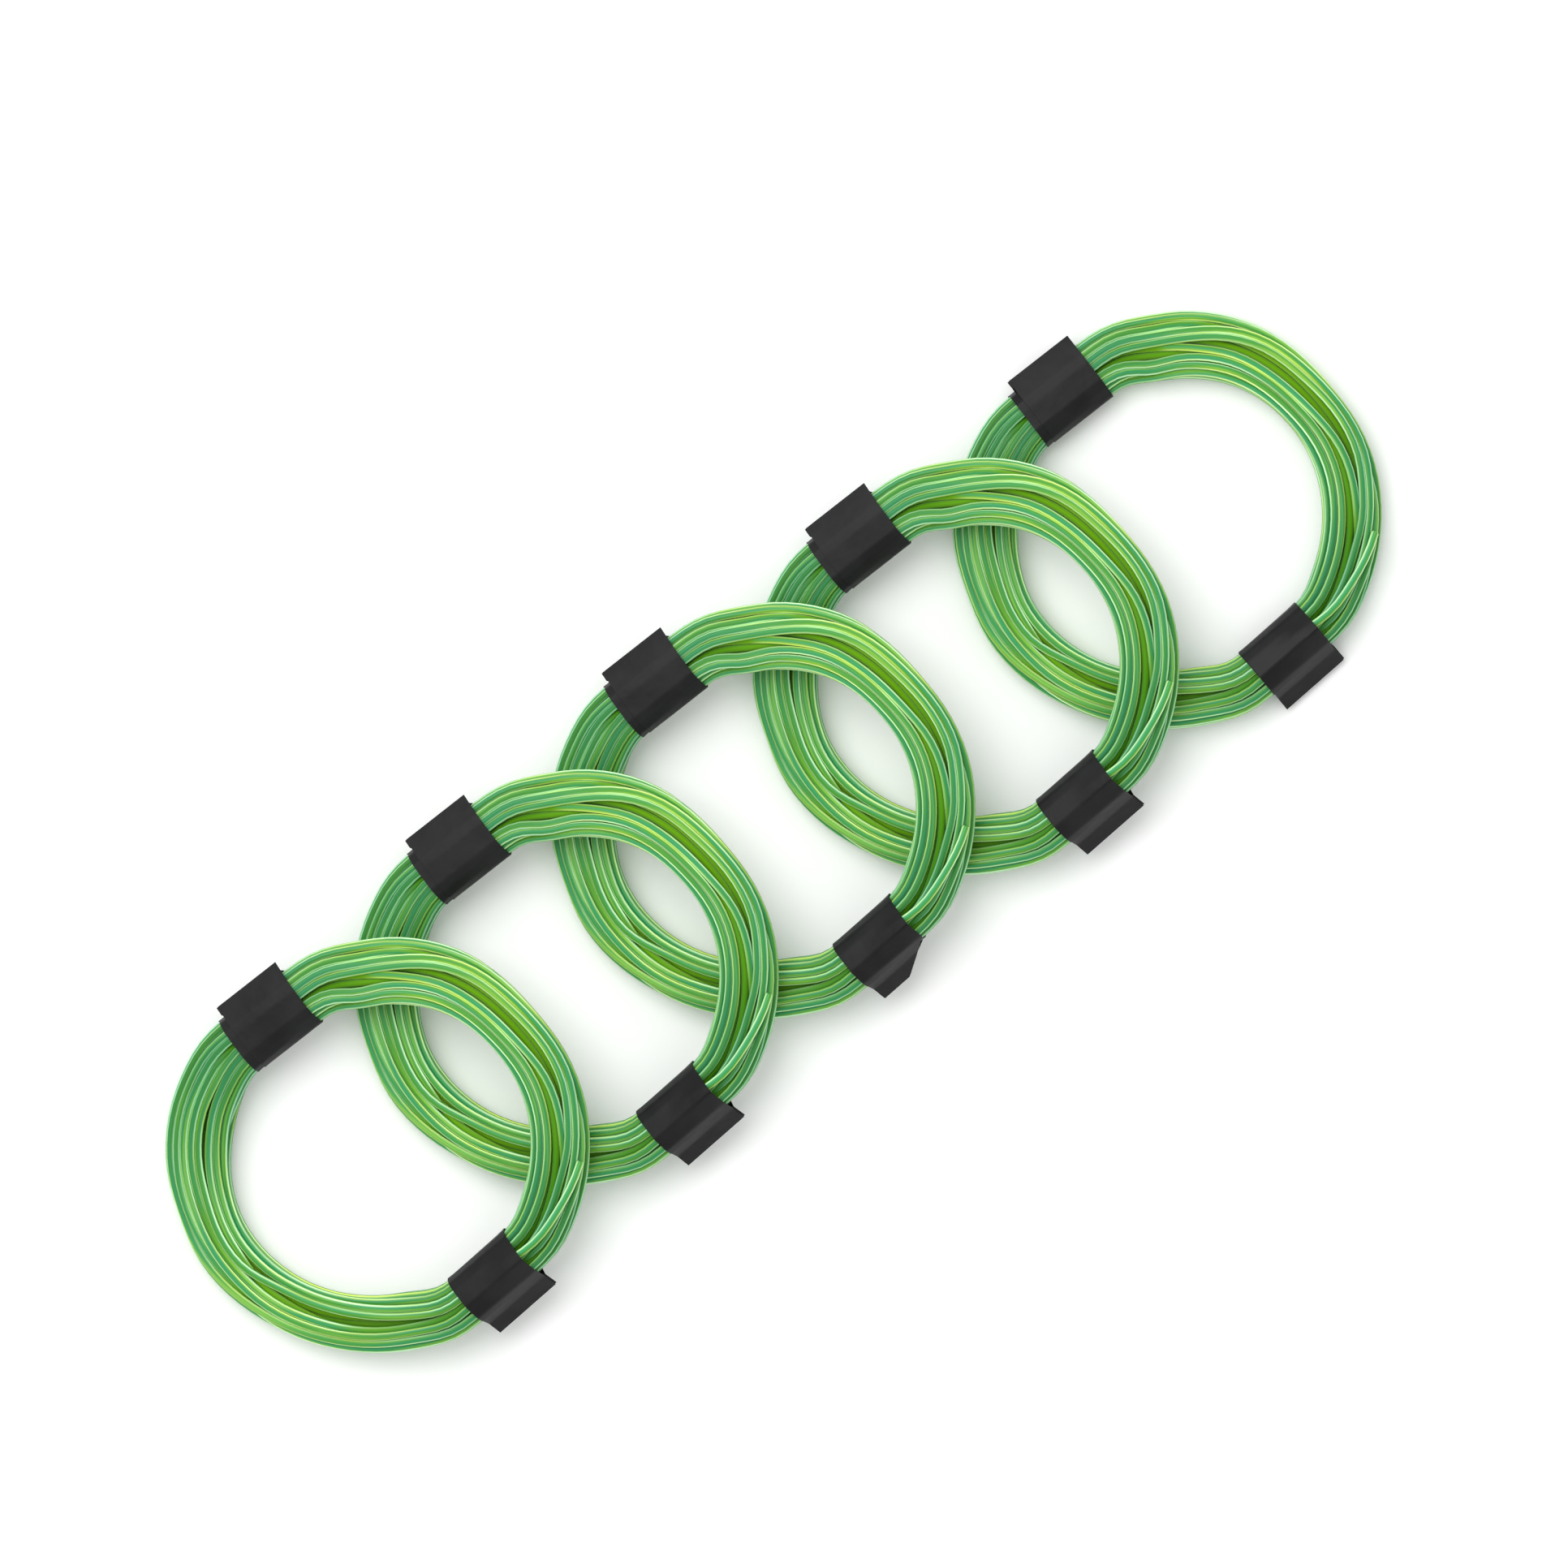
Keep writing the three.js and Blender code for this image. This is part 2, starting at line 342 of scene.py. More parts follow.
    def path(self):
        """The strand's centreline in the coil's axes, from its inner end to its free end."""
        radius = (self.across + self.middle).reshape(-1)[: self.count]
        height = (self.up + self.half_height).reshape(-1)[: self.count]
        angle = np.radians(self.angle_along())
        return np.column_stack([radius * np.cos(angle), radius * np.sin(angle), height])

    def angle_along(self):
        return SEAM + np.arange(self.count) * 360 / STEPS_PER_TURN

    def looks(self):
        """What the strand's colour goes by, at each point of the path: how deep it lies, from
        0 at the bundle's outline to 1 at its middle, for the painted shade there, and how much painted light
        it gets round the coil, from 0 (painted shade) to 1 (painted light)."""
        depth = np.clip(1 - self.reach_outward(), 0, 1).reshape(-1)[: self.count]
        # Painted light and painted shade: lightest at two opposite sides of the coil, darkest halfway between
        # them; the free end is painted lightest all along.
        painted_light = 0.5 + 0.5 * np.cos(2 * np.radians(self.angle_along() - PAINTED_LIGHT_AT))
        painted_light[self.turns * STEPS_PER_TURN :] = 1
        return {"depth": depth, "painted_light": painted_light}


# ---- Placing -------------------------------------------------------------------------------


def deselect_all():
    for obj in bpy.context.selected_objects:
        obj.select_set(False)


def superellipse(turn):
    """A point of the cross-section's outline, from -1 to 1 across and up."""
    across, up = (
        abs(part) ** (2 / ROUNDNESS) * math.copysign(1, part) for part in (math.cos(turn), math.sin(turn))
    )
    return across, up


def bundle_surface():
    """Points all over the bundle's outline, to find how far it reaches when it is tipped."""
    angles = np.arange(0, 360, 2.0)
    around = np.radians(angles)
    inner, outer, height = bundle_at(angles)
    rows = []
    for turn in np.radians(np.arange(0, 360, 6.0)):
        across, up = superellipse(turn)
        radius = (inner + outer) / 2 + across * (outer - inner) / 2
        level = height / 2 * (1 + up)
        rows.append(np.column_stack([radius * np.cos(around), radius * np.sin(around), level]))
    return np.concatenate(rows)


def coil_matrix(number):
    """From the coil's own axes in millimetres to its place in the frame, in metres."""
    tip = Matrix.Rotation(math.radians(-COIL_TILTS[number]), 4, "Y")
    turned = bundle_surface() @ np.array(tip.to_3x3()).T
    low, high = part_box(f"coil_{number}_strand")
    middle = (turned.min(axis=0) + turned.max(axis=0)) / 2
    x, y = ((low[i] + high[i]) / 2 - middle[i] * MM for i in range(2))
    z = low[2] - turned[:, 2].min() * MM
    return Matrix.Translation((x, y, z)) @ Matrix.Scale(MM, 4) @ tip


def placed_copy(source, name, place):
    """A copy with its own mesh, which is put in its coil's place."""
    copy = source.copy()
    copy.data = source.data.copy()
    copy.name = name
    bpy.context.collection.objects.link(copy)
    copy.data.transform(place)
    return copy


# ---- Strand --------------------------------------------------------------------------------

END_BEVEL = 0.3  # at the strand's cut ends, as a share of its radius


def strand_mesh(path, looks, radius, sides):
    """A closed tube along the path, bevelled at its ends.

    Its map is millimetres along it by turns round it. Each of the looks becomes an attribute."""
    tangent = np.gradient(path, axis=0)
    tangent /= np.linalg.norm(tangent, axis=1)[:, None]
    side = np.cross(tangent, (0, 0, 1))
    side /= np.linalg.norm(side, axis=1)[:, None]
    up = np.cross(side, tangent)

    rings = len(path) + 2
    pick = np.clip(np.arange(rings) - 1, 0, len(path) - 1)
    centres = path[pick]
    centres[0] -= END_BEVEL * radius * tangent[0]
    centres[-1] += END_BEVEL * radius * tangent[-1]
    radii = np.full((rings, 1, 1), radius)
    radii[[0, -1]] *= 1 - END_BEVEL
    turn = np.arange(sides)[None, :, None] * 2 * np.pi / sides
    facing = np.cos(turn) * up[pick][:, None] + np.sin(turn) * side[pick][:, None]
    points = centres[:, None] + facing * radii

    first = np.arange(rings - 1)[:, None] * sides
    here = np.arange(sides)
    after = (here + 1) % sides
    quads = np.stack([first + here, first + after, first + sides + after, first + sides + here], -1)
    start_cap = list(range(sides))[::-1]
    end_cap = list(range((rings - 1) * sides, rings * sides))
    mesh = bpy.data.meshes.new("strand")
    mesh.from_pydata(
        points.reshape(-1, 3).tolist(), [], quads.reshape(-1, 4).tolist() + [start_cap, end_cap]
    )

    steps = np.linalg.norm(np.diff(centres, axis=0), axis=1)
    length = np.concatenate([[0], np.cumsum(steps)])
    strand_map = np.zeros((rings - 1, sides, 4, 2), dtype=np.float32)
    strand_map[:, :, :2, 0] = length[:-1, None, None]
    strand_map[:, :, 2:, 0] = length[1:, None, None]
    strand_map[..., 1] = (here[:, None] + np.array([0, 1, 1, 0])) / sides
    caps = np.zeros(4 * sides, dtype=np.float32)
    layer = mesh.uv_layers.new(name="strand_map")
    layer.data.foreach_set("uv", np.concatenate([strand_map.reshape(-1), caps]))
    for name, values in looks.items():
        attribute = mesh.attributes.new(name, "FLOAT", "POINT")
        attribute.data.foreach_set("value", np.repeat(values[pick], sides).astype(np.float32))
    smooth = np.ones(len(mesh.polygons), dtype=bool)
    smooth[-2:] = False
    mesh.polygons.foreach_set("use_smooth", smooth)
    mesh.update()
    return mesh


# ---- Tape ----------------------------------------------------------------------------------

FILM_ROUND = 96  # steps along a film, from one end of the flag round the bundle to the other
FILM_ACROSS = 14  # steps across it
UNDER_LIFT = 0.9  # of the first layer off the strands, in thicknesses of film
OVER_LIFT = 2.05  # of the second layer
FLAG_CUT_FROM = 0.7  # from the band's outer side in to where the cut corner starts
FLAG_HALF_GAP = 0.55  # from the flag's middle to each of its pressed ends, in thicknesses of film
DIRECTIONS = 720  # in which a stretched film's line is worked out, in one turn


def tape_axes(tape):
    """A tape's axes in the coil's plan: outwards from the centre, and clockwise."""
    turn = math.radians(tape["direction"])
    return np.array([math.cos(turn), math.sin(turn)]), np.array([math.sin(turn), -math.cos(turn)])


def strands_across(path, tape, along):
    """Where the strand crosses a plane across the bundle, as (outward, height) pairs."""
    outward, clockwise = tape_axes(tape)
    ahead = path[:, :2] @ clockwise - along
    out = path[:, :2] @ outward
    crossed = (ahead[:-1] * ahead[1:] <= 0) & (out[:-1] > 0)
    start = np.column_stack([out, path[:, 2]])[:-1][crossed]
    end = np.column_stack([out, path[:, 2]])[1:][crossed]
    share = (ahead[:-1] / (ahead[:-1] - ahead[1:]))[crossed]
    return start + (end - start) * share[:, None]


def touched_discs(centres, radii, directions):
    """Which disc a film stretched round them all touches, where it faces each direction."""
    facing = np.column_stack([np.cos(directions), np.sin(directions)])
    return facing, np.argmax(facing @ centres.T + radii, axis=1)


def stretched_film(centres, radii, lift, start, end):
    """The line of a film stretched round discs, from facing one direction to another."""
    facing, touched = touched_discs(centres, radii, np.linspace(start, end, DIRECTIONS))
    return centres[touched] + facing * (radii[touched] + lift)[:, None]


def evenly_spaced(points, count):
    """The same line through a number of evenly spaced points."""
    length = np.concatenate([[0], np.cumsum(np.linalg.norm(np.diff(points, axis=0), axis=1))])
    places = np.linspace(0, length[-1], count)
    return np.column_stack([np.interp(places, length, points[:, i]) for i in range(points.shape[1])])


def film_outline(strand, tape, along, settings, lift, has_flag):
    """One line round the bundle, out along the flag at both ends if the film has one."""
    path, radius = strand
    strands = strands_across(path, tape, along)
    film = settings.film_thickness / MM
    low = strands[:, 1].min() - radius
    high = strands[:, 1].max() + radius
    flag = np.array([tape["flag_root"], tape["flag_tip"]])
    root, tip = flag * (1, high - low) + (0, low)
    ridge_out, rise = tape["ridge"]
    centres = np.vstack([strands, (ridge_out, high + rise)])
    radii = np.append(np.full(len(strands), radius), 0)
    if not has_flag:
        return evenly_spaced(stretched_film(centres, radii, lift, 0, 2 * math.pi), FILM_ROUND + 1)
    centres = np.vstack([centres, root])
    radii = np.append(radii, film / 2)
    directions = np.linspace(-math.pi, math.pi, DIRECTIONS + 1)
    at_root = directions[touched_discs(centres, radii, directions)[1] == len(strands) + 1]
    line = stretched_film(centres, radii, lift, at_root.max(), at_root.min() + 2 * math.pi)
    run = (tip - root) / np.linalg.norm(tip - root)
    half_gape = (FLAG_HALF_GAP + settings.flag_opening) * film * np.array((-run[1], run[0]))
    return evenly_spaced(np.vstack([tip + half_gape, line, tip - half_gape]), FILM_ROUND + 1)


def film_object(name, strand, tape, edges, settings, lift, has_flag):
    """A flat strip of film, wrapped close round the bundle, with a thickness of its own."""
    deselect_all()
    bpy.ops.mesh.primitive_grid_add(x_subdivisions=FILM_ROUND, y_subdivisions=FILM_ACROSS, size=1)
    film = bpy.context.object
    film.name = name
    outward, clockwise = tape_axes(tape)
    start, end = edges
    points = np.zeros((FILM_ACROSS + 1, FILM_ROUND + 1, 3))
    slant = np.linspace(0, -settings.slant / MM, FILM_ROUND + 1)
    for row in range(FILM_ACROSS + 1):
        along = start + (end - start) * row / FILM_ACROSS
        line = film_outline(strand, tape, along, settings, lift, has_flag)
        points[row, :, :2] = line[:, :1] * outward + (along + slant)[:, None] * clockwise
        points[row, :, 2] = line[:, 1]
    film.data.vertices.foreach_set("co", points.reshape(-1))
    film.data.update()
    return film


def cut_flag_corner(film, tape):
    """Snips a corner off the flag, from the middle of its outer edge to the band."""
    outward, clockwise = tape_axes(tape)
    near_middle = outward * tape["flag_tip"][0]
    at_edge = outward * (tape["outer"] - FLAG_CUT_FROM) + clockwise * tape["edges"][0]
    along = at_edge - near_middle
    normal = np.array([along[1], -along[0]])
    normal *= np.sign(normal @ outward) / np.linalg.norm(normal)
    bpy.ops.object.mode_set(mode="EDIT")
    bpy.ops.mesh.select_all(action="SELECT")
    bpy.ops.mesh.bisect(plane_co=(*near_middle, 0), plane_no=(*normal, 0), clear_outer=True)
    bpy.ops.object.mode_set(mode="OBJECT")


def finish_film(film, settings):
    """Gives a film its thickness and takes the sharpness off its cut edges."""
    solidify = film.modifiers.new("thickness", "SOLIDIFY")
    solidify.thickness = settings.film_thickness / MM
    solidify.offset = 0
    bevel = film.modifiers.new("soft edge", "BEVEL")
    bevel.width = 0.2 * settings.film_thickness / MM
    bevel.segments = 1
    bevel.limit_method = "ANGLE"
    bevel.angle_limit = math.radians(50)
    for modifier in ("thickness", "soft edge"):
        bpy.ops.object.modifier_apply(modifier=modifier)
    bpy.ops.object.mode_set(mode="EDIT")
    bpy.ops.mesh.select_all(action="SELECT")
    bpy.ops.mesh.normals_make_consistent(inside=False)
    bpy.ops.object.mode_set(mode="OBJECT")
    bpy.ops.object.shade_smooth_by_angle(angle=math.radians(40))


def wrap_object(name, strand, tape, settings, cut_corner=False):
    """A wrap of tape: a first layer on the bundle, and over it one that ends in the flag.

    The strand is its path and its radius."""
    thickness = settings.film_thickness / MM
    under = (tape["under_edges"], UNDER_LIFT * thickness, False)
    over = (tape["edges"], OVER_LIFT * thickness, True)
    layers = []
    for edges, lift, has_flag in (under, over):
        strip = film_object(name, strand, tape, edges, settings, lift, has_flag)
        if cut_corner and has_flag:
            cut_flag_corner(strip, tape)
        finish_film(strip, settings)
        layers.append(strip)
    deselect_all()
    for strip in layers:
        strip.select_set(True)
    bpy.context.view_layer.objects.active = layers[0]
    bpy.ops.object.join()
    return layers[0]


# ---- Materials -----------------------------------------------------------------------------


class NodeTree:
    """A few short calls for building a material."""

    def __init__(self, name):
        self.material = bpy.data.materials.new(name)
        self.material.use_nodes = True
        self.nodes = self.material.node_tree.nodes
        self.links = self.material.node_tree.links
        self.shader = self.nodes["Principled BSDF"]

    def add(self, kind, inputs=(), **settings):
        """Adds a node. An input is a number, or another node's output."""
        node = self.nodes.new(kind)
        for key, value in settings.items():
            setattr(node, key, value)
        for socket, value in dict(inputs).items():
            self.put(node.inputs[socket], value)
        return node

    def put(self, socket, value):
        if isinstance(value, bpy.types.NodeSocket):
            self.links.new(value, socket)
        else:
            socket.default_value = value

    def math(self, operation, *values):
        return self.add("ShaderNodeMath", enumerate(values), operation=operation).outputs[0]

    def mix(self, share, first, second, blend="MIX"):
        inputs = {0: share, 6: first, 7: second}
        node = self.add("ShaderNodeMix", inputs, data_type="RGBA", blend_type=blend)
        return node.outputs[2]

    def attribute(self, name):
        return self.add("ShaderNodeAttribute", attribute_name=name).outputs["Fac"]

    def ramp(self, value, low, high):
        """0 below low and 1 above high, smoothly."""
        node = self.add(
            "ShaderNodeMapRange",
            {"Value": value, "From Min": low, "From Max": high},
            interpolation_type="SMOOTHSTEP",
        )
        return node.outputs["Result"]

    def noise(self, vector, scale=1.0, detail=2.0, roughness=0.5):
        node = self.add(
            "ShaderNodeTexNoise",
            {"Vector": vector, "Scale": scale, "Detail": detail, "Roughness": roughness},
        )
        return node.outputs["Fac"]


def coated_strand_material(settings):
    """Glossy green coating, with streaks that run along the strand.

    It is painted dark over the core where the strand faces up or down, and painted light beside
    that: a painted rim highlight, for the gloss at the strand's sides. Deep in the bundle only
    light that has passed between the strands reaches it, so there it is painted olive, as painted
    shade, and has hardly any gloss. Round the coil it is painted darker in two opposite places and
    lighter halfway between them: painted shade and painted light."""
    tree = NodeTree("green_strand")
    strand_map = tree.add("ShaderNodeUVMap", uv_map="strand_map")
    split = tree.add("ShaderNodeSeparateXYZ", {0: strand_map.outputs[0]})
    along = split.outputs[0]
    turn = tree.math("MULTIPLY", split.outputs[1], 2 * math.pi)
    cosine = tree.math("COSINE", turn)
    sine = tree.math("SINE", turn)

    def streaks(length, offset):
        """Noise that is long along the strand, and joins up round it. The offset sets it
        apart from the other streaks."""
        vector = tree.add(
            "ShaderNodeCombineXYZ",
            {0: tree.math("MULTIPLY", along, 1 / length), 1: tree.math("ADD", cosine, offset), 2: sine},
        )
        return tree.noise(vector.outputs[0])

    core = tree.mix(tree.ramp(streaks(60, 0), 0.4, 0.6), (*settings.teal, 1), (*settings.green, 1))
    lime = tree.ramp(streaks(45, 9), 0.5, 0.66)
    core = tree.mix(tree.math("MULTIPLY", lime, 0.5), core, (*settings.lime, 1))
    # The painted rim highlight's colour: light green, and yellow-green in streaks.
    edge = tree.mix(tree.ramp(streaks(30, 30), 0.44, 0.64), (*settings.light, 1), (*settings.yellow, 1))
    # 1 where the strand faces up or down, and 0 at its sides, a little turned.
    facing = tree.math("ABSOLUTE", tree.math("ADD", cosine, tree.math("MULTIPLY", sine, 0.12)))
    # Painted rim highlight: the strand is painted light beside its top and bottom, where a glossy strand
    # mirrors its surroundings, and its strength varies along the strand.
    beside = tree.math("SUBTRACT", tree.ramp(facing, 0.18, 0.45), tree.ramp(facing, 0.58, 0.93))
    uneven = tree.math("ADD", 0.45, tree.math("MULTIPLY", tree.ramp(streaks(40, 20), 0.35, 0.65), 0.55))
    colour = tree.mix(tree.math("MULTIPLY", beside, uneven), core, edge)
    # Painted shade: deep in the bundle the colour is painted olive, for the shade there and the light that
    # passes between the strands.
    deep = tree.ramp(tree.attribute("depth"), settings.deep_from, settings.deep_from + 0.2)
    colour = tree.mix(tree.math("MULTIPLY", deep, 0.85), colour, (*settings.olive, 1))
    # Painted light and painted shade: the colour is multiplied lighter at two opposite sides of the coil and
    # darker halfway between.
    tint = tree.mix(tree.attribute("painted_light"), (*settings.painted_shade, 1), (*settings.painted_light, 1))
    tree.put(tree.shader.inputs["Base Color"], tree.mix(1, colour, tint, "MULTIPLY"))

    roughness = tree.math("ADD", 0.32, tree.math("MULTIPLY", streaks(12, 40), 0.25))
    tree.put(tree.shader.inputs["Roughness"], roughness)
    bump = tree.add("ShaderNodeBump", {"Strength": 0.25, "Distance": 0.0001, "Height": streaks(9, 60)})
    tree.put(tree.shader.inputs["Normal"], bump.outputs[0])
    # The gloss and the sheen fade out with the painted shade deep in the bundle.
    lit = tree.math("SUBTRACT", 1, tree.math("MULTIPLY", deep, 0.9))  # 1 at the bundle's surface
    tree.put(tree.shader.inputs["Specular IOR Level"], tree.math("MULTIPLY", lit, 0.35))
    tree.put(tree.shader.inputs["Sheen Weight"], tree.math("MULTIPLY", lit, settings.rim))
    tree.put(tree.shader.inputs["Sheen Roughness"], 0.35)
    tree.put(tree.shader.inputs["Sheen Tint"], (*settings.light, 1))
    return tree.material


def black_tape_material(settings):
    """Satin black film with soft wrinkles and a fine pebbled skin."""
    tree = NodeTree("black_tape")
    place = tree.add("ShaderNodeTexCoord").outputs["Object"]
    smudge = tree.noise(place, scale=90, detail=3)
    colour = tree.mix(tree.ramp(smudge, 0.35, 0.7), (*settings.dark, 1), (*settings.worn, 1))
    tree.put(tree.shader.inputs["Base Color"], colour)
    roughness = tree.math("ADD", 0.34, tree.math("MULTIPLY", smudge, 0.2))
    tree.put(tree.shader.inputs["Roughness"], roughness)
    tree.put(tree.shader.inputs["Specular IOR Level"], settings.gloss)
    wrinkles = tree.noise(place, scale=220, detail=2)
    skin = tree.noise(place, scale=4000, detail=1)
    height = tree.math("ADD", wrinkles, tree.math("MULTIPLY", skin, 0.06))
    bump = tree.add("ShaderNodeBump", {"Strength": 0.35, "Distance": 0.0004, "Height": height})
    tree.put(tree.shader.inputs["Normal"], bump.outputs[0])
    return tree.material


def pale_floor_material(settings):
    """Matt white card."""
    tree = NodeTree("pale_floor")
    place = tree.add("ShaderNodeTexCoord").outputs["Object"]
    grain = tree.noise(place, scale=700, detail=2)
    tree.put(tree.shader.inputs["Base Color"], (*settings.floor, 1))
    tree.put(tree.shader.inputs["Roughness"], tree.math("ADD", 0.8, tree.math("MULTIPLY", grain, 0.1)))
    tree.put(tree.shader.inputs["Specular IOR Level"], 0.0)
    return tree.material


def dress(obj, material):
    obj.data.materials.clear()
    obj.data.materials.append(material)


# ---- Settings ------------------------------------------------------------------------------


def length_property(name, description, default):
    return bpy.props.FloatProperty(
        name=name, description=description, default=default, unit="LENGTH", precision=4
    )


def colour_property(name, description, default, most=1):
    return bpy.props.FloatVectorProperty(
        name=name, description=description, default=default, subtype="COLOR", size=3, min=0, max=most
    )


class StrandSettings(bpy.types.PropertyGroup):
    strand_diameter: length_property("Strand diameter", "Thickness of the coated strand", 0.002)
    sides: bpy.props.IntProperty(
        name="Sides", description="Sides of the strand's round cross-section", default=12, min=6
    )
    wander: length_property("Wander", "How far a turn strays from its place in the bundle", 0.0009)
    settling: bpy.props.IntProperty(
        name="Settling", description="Steps in which the turns settle against each other", default=500
    )
    seed: bpy.props.IntProperty(name="Seed", description="Which random winding is made", default=3)
    teal: colour_property("Teal", "The coating where it is bluest", (0.016, 0.23, 0.085))
    green: colour_property("Green", "The coating's usual green", (0.035, 0.225, 0.02))
    lime: colour_property("Lime", "Yellow-green streaks", (0.22, 0.48, 0.03))
    # Painted rim highlight: light green, and yellow-green in streaks, painted beside each strand's core.
    # Light green also tints the sheen.
    light: colour_property("Light green", "The coating beside the core", (0.56, 0.92, 0.64))
    yellow: colour_property("Yellow-green", "Where the light coating yellows", (0.55, 0.76, 0.16))
    # Painted shade: olive, painted on the strands that lie deep in the bundle.
    olive: colour_property("Olive", "The coating deep in the bundle", (0.095, 0.27, 0.002))
    # Painted shade and painted light: the colour multipliers for the darker and the lighter sides of the
    # coil.
    painted_shade: colour_property("Tight", "Multiplies the colours where turns are tight", (0.54, 0.75, 0.60))
    painted_light: colour_property("Slack", "Multiplies them where turns are slack", (1.50, 1.27, 1.06), most=2)
    # Where the olive painted shade begins, as a share of the way into the bundle.
    deep_from: bpy.props.FloatProperty(
        name="Deep from",
        description="Depth in the bundle at which a strand turns olive, as a share of the way in",
        default=0.12,
        min=0,
        max=0.8,
    )
    rim: bpy.props.FloatProperty(
        name="Rim", description="Strength of the pale rim at glancing angles", default=0.3, min=0, max=1
    )


class TapeSettings(bpy.types.PropertyGroup):
    film_thickness: length_property("Film thickness", "Thickness of the tape", 0.0002)
    flag_opening: bpy.props.FloatProperty(
        name="Flag opening",
        description="How far the flag's two ends gape at their edge, in thicknesses of film",
        default=0.25,
        min=0,
    )
    slant: length_property("Slant", "How far the tape runs sideways on its way round", 0.0004)
    gloss: bpy.props.FloatProperty(
        name="Gloss", description="How strongly the tape mirrors its surroundings", default=0.19, min=0, max=1
    )
    dark: colour_property("Black", "The tape's colour", (0.004, 0.004, 0.0045))
    worn: colour_property("Worn black", "The tape where it is rubbed", (0.009, 0.009, 0.010))


class StageSettings(bpy.types.PropertyGroup):
    view_width: length_property(
        "View width", "How much of the floor the camera sees from side to side", 0.3956
    )
    camera_height: length_property("Camera height", "Height of the camera above the floor", 5.0)
    row_turn: bpy.props.FloatProperty(
        name="Row turn",
        description="How far anticlockwise the row is seen to be turned",
        default=math.radians(38.36),
        subtype="ANGLE",
    )
    floor: colour_property("Floor", "Colour of the floor", (0.93, 0.93, 0.93))
    sky: bpy.props.FloatProperty(
        name="Sky", description="Strength of the light from all round", default=0.92, min=0
    )
    key_power: bpy.props.FloatProperty(
        name="Key light", description="Power of the large soft light", default=22, subtype="POWER"
    )


# ---- Operators -----------------------------------------------------------------------------


class COILS_OT_camera(bpy.types.Operator):
    """Puts the camera straight above the row, turned so that the row runs up to the right"""

    bl_idname = "coils.camera"
    bl_label = "Camera"

    # From the first coil's centre to the middle of the view, along and across the row.
    TO_MIDDLE = (0.1360, 0.0076)

    def execute(self, context):
        settings = context.scene.coil_stage
        data = bpy.data.cameras.new("camera")
        data.lens = data.sensor_width * settings.camera_height / settings.view_width
        data.clip_end = 4 * settings.camera_height
        camera = bpy.data.objects.new("camera", data)
        context.collection.objects.link(camera)
        centre = coil_matrix(1).translation
        along, across = self.TO_MIDDLE
        camera.location = (centre.x + along, centre.y + across, settings.camera_height)
        camera.rotation_euler = (0, 0, -settings.row_turn)
        context.scene.camera = camera
        return {"FINISHED"}


class COILS_OT_strands(bpy.types.Operator):
    """Winds the strand once, and puts a copy in each coil's place"""

    bl_idname = "coils.strands"
    bl_label = "Wound strands"

    def execute(self, context):
        settings = context.scene.coil_strand
        winding = Winding(settings)
        winding.settle(settings.settling)
        path = winding.path()
        context.scene["strand_path"] = path.reshape(-1).tolist()
        radius = settings.strand_diameter / MM / 2
        mesh = strand_mesh(path, winding.looks(), radius, settings.sides)
        source = bpy.data.objects.new("wound_strand", mesh)
        dress(source, coated_strand_material(settings))
        for number in COIL_TILTS:
            place = coil_matrix(number)
            strand = placed_copy(source, f"coil_{number}_wound_strand", place)
            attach(strand, f"coil_{number}")
            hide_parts(f"coil_{number}_strand", f"coil_{number}_free_end")
        bpy.data.objects.remove(source)
        return {"FINISHED"}


class COILS_OT_tapes(bpy.types.Operator):
    """Wraps tape round the wound strand at both sides of every coil"""

    bl_idname = "coils.tapes"
    bl_label = "Tape wraps"

    def execute(self, context):
        settings = context.scene.coil_tape
        path = np.array(context.scene["strand_path"]).reshape(-1, 3)
        strand = (path, context.scene.coil_strand.strand_diameter / MM / 2)
        material = black_tape_material(settings)
        upper = wrap_object("upper_wrap", strand, UPPER_TAPE, settings)
        lower = wrap_object("lower_wrap", strand, LOWER_TAPE, settings)
        snipped = wrap_object("snipped_wrap", strand, LOWER_TAPE, settings, cut_corner=True)
        for number in COIL_TILTS:
            place = coil_matrix(number)
            below = snipped if number == CUT_CORNER_COIL else lower
            for source, side in ((upper, "upper"), (below, "lower")):
                wrap = placed_copy(source, f"coil_{number}_{side}_wrap", place)
                dress(wrap, material)
                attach(wrap, f"coil_{number}")
                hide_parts(f"coil_{number}_{side}_tape")
        for source in (upper, lower, snipped):
            bpy.data.objects.remove(source)
        return {"FINISHED"}


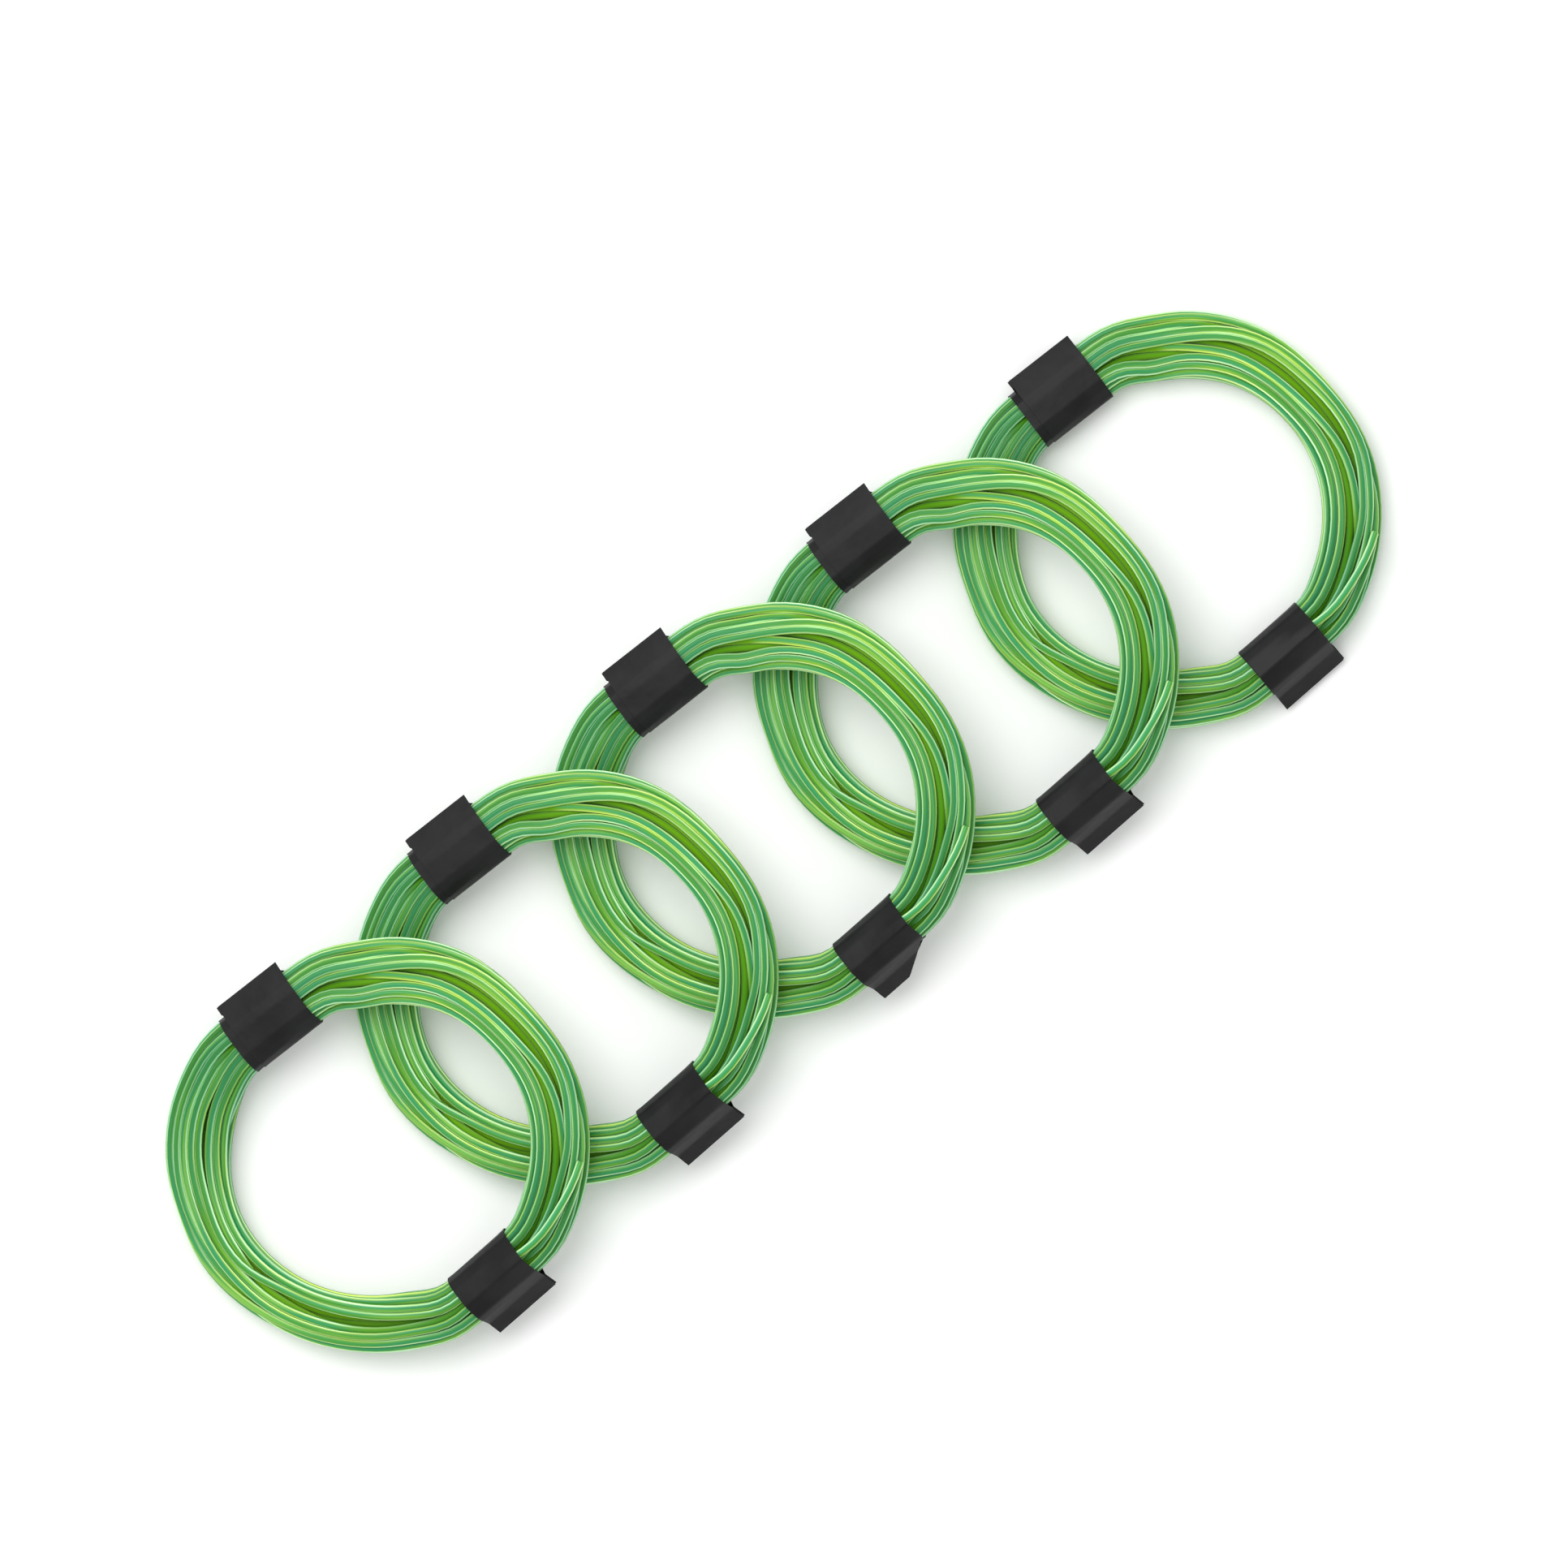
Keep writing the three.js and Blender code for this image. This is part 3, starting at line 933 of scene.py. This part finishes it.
class COILS_OT_stage(bpy.types.Operator):
    """Lays the pale floor and sets the soft studio light"""

    bl_idname = "coils.stage"
    bl_label = "Stage"

    FLOOR_SIZE = 6
    FLOOR_LEVEL = -0.0002  # just under the coils
    KEY_PLACE = (-0.1, 0.9, 1.7)
    KEY_SIZE = 1.6

    def execute(self, context):
        settings = context.scene.coil_stage
        deselect_all()
        bpy.ops.mesh.primitive_plane_add(size=self.FLOOR_SIZE, location=(0, 0, self.FLOOR_LEVEL))
        floor = context.object
        floor.name = "floor"
        dress(floor, pale_floor_material(settings))
        world = bpy.data.worlds.new("soft_sky")
        world.use_nodes = True
        background = world.node_tree.nodes["Background"]
        background.inputs["Color"].default_value = (1, 1, 1, 1)
        background.inputs["Strength"].default_value = settings.sky
        context.scene.world = world
        self.key_light(context, settings.key_power)
        context.scene.view_settings.view_transform = "Standard"
        return {"FINISHED"}

    def key_light(self, context, power):
        """A large disk of light that faces the row's middle."""
        data = bpy.data.lights.new("key", "AREA")
        data.shape = "DISK"
        data.size = self.KEY_SIZE
        data.energy = power
        light = bpy.data.objects.new("key", data)
        context.collection.objects.link(light)
        light.location = self.KEY_PLACE
        light.rotation_euler = (-light.location).to_track_quat("-Z", "Y").to_euler()


class COILS_PT_panel(bpy.types.Panel):
    """Lists the operators that make the coils"""

    bl_idname = "COILS_PT_panel"
    bl_label = "Taped strand coils"
    bl_space_type = "VIEW_3D"
    bl_region_type = "UI"
    bl_category = "Coils"

    def draw(self, context):
        for operator in OPERATORS:
            self.layout.operator(operator.bl_idname)


OPERATORS = (COILS_OT_camera, COILS_OT_strands, COILS_OT_tapes, COILS_OT_stage)
SETTINGS = {"coil_strand": StrandSettings, "coil_tape": TapeSettings, "coil_stage": StageSettings}


def register():
    for group in SETTINGS.values():
        bpy.utils.register_class(group)
    for name, group in SETTINGS.items():
        setattr(bpy.types.Scene, name, bpy.props.PointerProperty(type=group))
    for entry in (*OPERATORS, COILS_PT_panel):
        bpy.utils.register_class(entry)


def unregister():
    for entry in (*OPERATORS, COILS_PT_panel):
        bpy.utils.unregister_class(entry)
    for name in SETTINGS:
        delattr(bpy.types.Scene, name)
    for group in SETTINGS.values():
        bpy.utils.unregister_class(group)


def main():
    register()
    bpy.ops.coils.camera()
    bpy.ops.coils.strands()
    bpy.ops.coils.tapes()
    bpy.ops.coils.stage()


if __name__ == "__main__":
    main()
